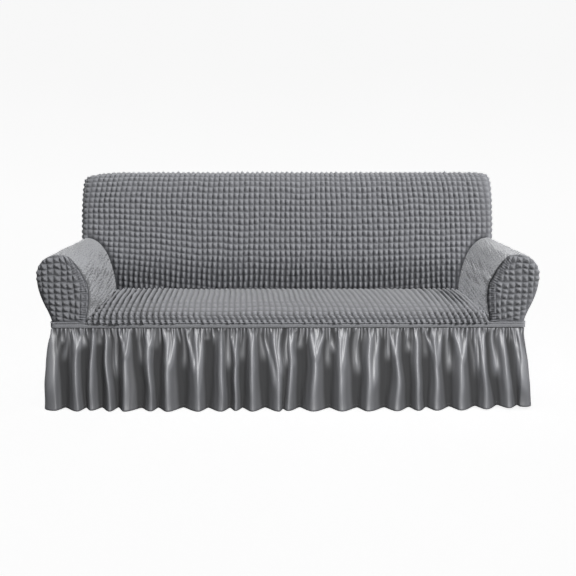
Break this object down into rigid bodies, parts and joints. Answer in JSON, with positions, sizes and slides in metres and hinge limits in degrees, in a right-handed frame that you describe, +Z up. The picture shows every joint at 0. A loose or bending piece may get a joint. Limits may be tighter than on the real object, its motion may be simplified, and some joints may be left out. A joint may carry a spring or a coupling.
{
  "type": "sofa slipcover",
  "caption": "Fitted stretch slipcover for a rolled-arm sofa: puffed knit back, seat and arm fronts, smooth arm sleeves, waistband and gathered floor-length skirt; hollow and open below",
  "frame": {"origin": "on the floor under the middle of the footprint, hem included", "axes": "+X runs along the sofa to the right seen from the front, +Y to the back, +Z up; the seat opens towards -Y"},
  "size_m": [2.106, 0.9913, 0.9481],
  "materials": {
    "puffed_knit": "matte mid-grey puffed stretch knit",
    "sleeve_knit": "matte lighter grey crinkled stretch knit",
    "band_elastic": "grey ribbed elastic tape",
    "skirt_satin": "grey polyester with a soft satin sheen"
  },
  "bodies": {
    "root": {"back_hood": "puffed_knit", "back_rear_panel": "puffed_knit", "seat_cover": "puffed_knit", "arm_front_left": "puffed_knit", "arm_front_right": "puffed_knit", "arm_sleeve_left": "sleeve_knit", "arm_sleeve_right": "sleeve_knit", "waistband": "band_elastic", "waist_piping": "band_elastic", "skirt_front": "skirt_satin", "skirt_right": "skirt_satin", "skirt_rear": "skirt_satin", "skirt_left": "skirt_satin"}
  },
  "joints": []
}
